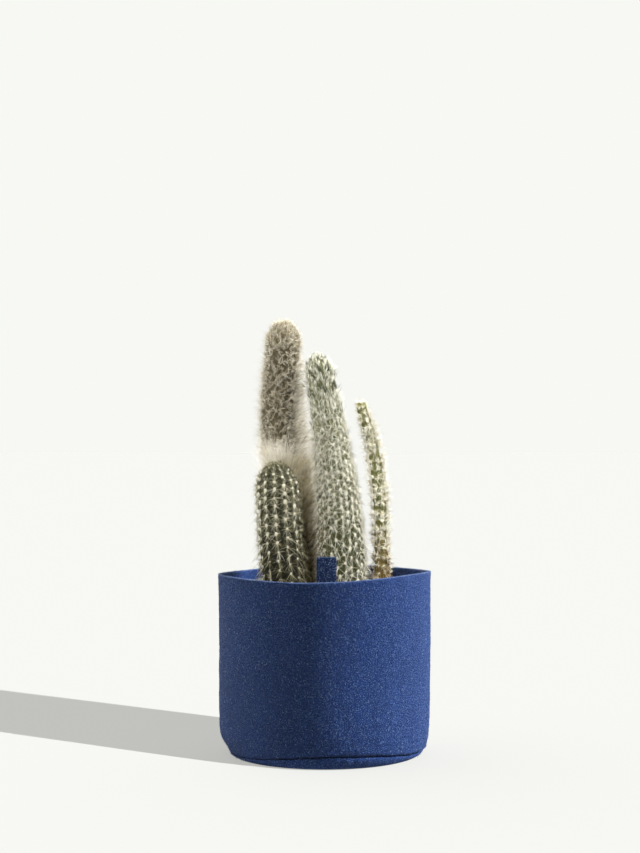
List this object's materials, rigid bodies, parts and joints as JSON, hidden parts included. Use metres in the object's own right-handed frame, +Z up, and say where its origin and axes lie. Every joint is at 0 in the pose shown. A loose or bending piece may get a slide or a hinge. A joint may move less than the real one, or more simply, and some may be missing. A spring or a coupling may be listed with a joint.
{
  "type": "potted old man cactus",
  "caption": "Hairy ribbed column cactus stems rooted in potting mix, in a thin nursery pot that stands inside a soft sewn felt pot.",
  "frame": {"origin": "centre of the felt base, on the surface that the pot stands on", "axes": "+Z up, the front of the pot with its tab towards -Y, +X to the viewer's right"},
  "size_m": [0.13, 0.13, 0.2635],
  "materials": {
    "felt": "dark blue needle felt with pale fibres through it",
    "thread": "matte sewing thread",
    "nursery_plastic": "thin black moulded plastic",
    "potting_mix": "damp bark and peat crumbs",
    "stem_woolly": "taupe hair over an olive body",
    "stem_dark": "dark green ribs with white woolly areoles",
    "stem_silver": "grey green body under silvery spines",
    "stem_young": "yellow green body under cream spines"
  },
  "bodies": {
    "root": {"felt_wall": "felt", "felt_base": "felt", "felt_tab": "felt", "base_seam_thread": "thread", "side_seam_thread": "thread", "nursery_pot": "nursery_plastic", "potting_mix": "potting_mix", "stem_tall_back": "stem_woolly", "stem_short_front": "stem_dark", "stem_middle": "stem_silver", "stem_thin_right": "stem_young"}
  },
  "joints": []
}
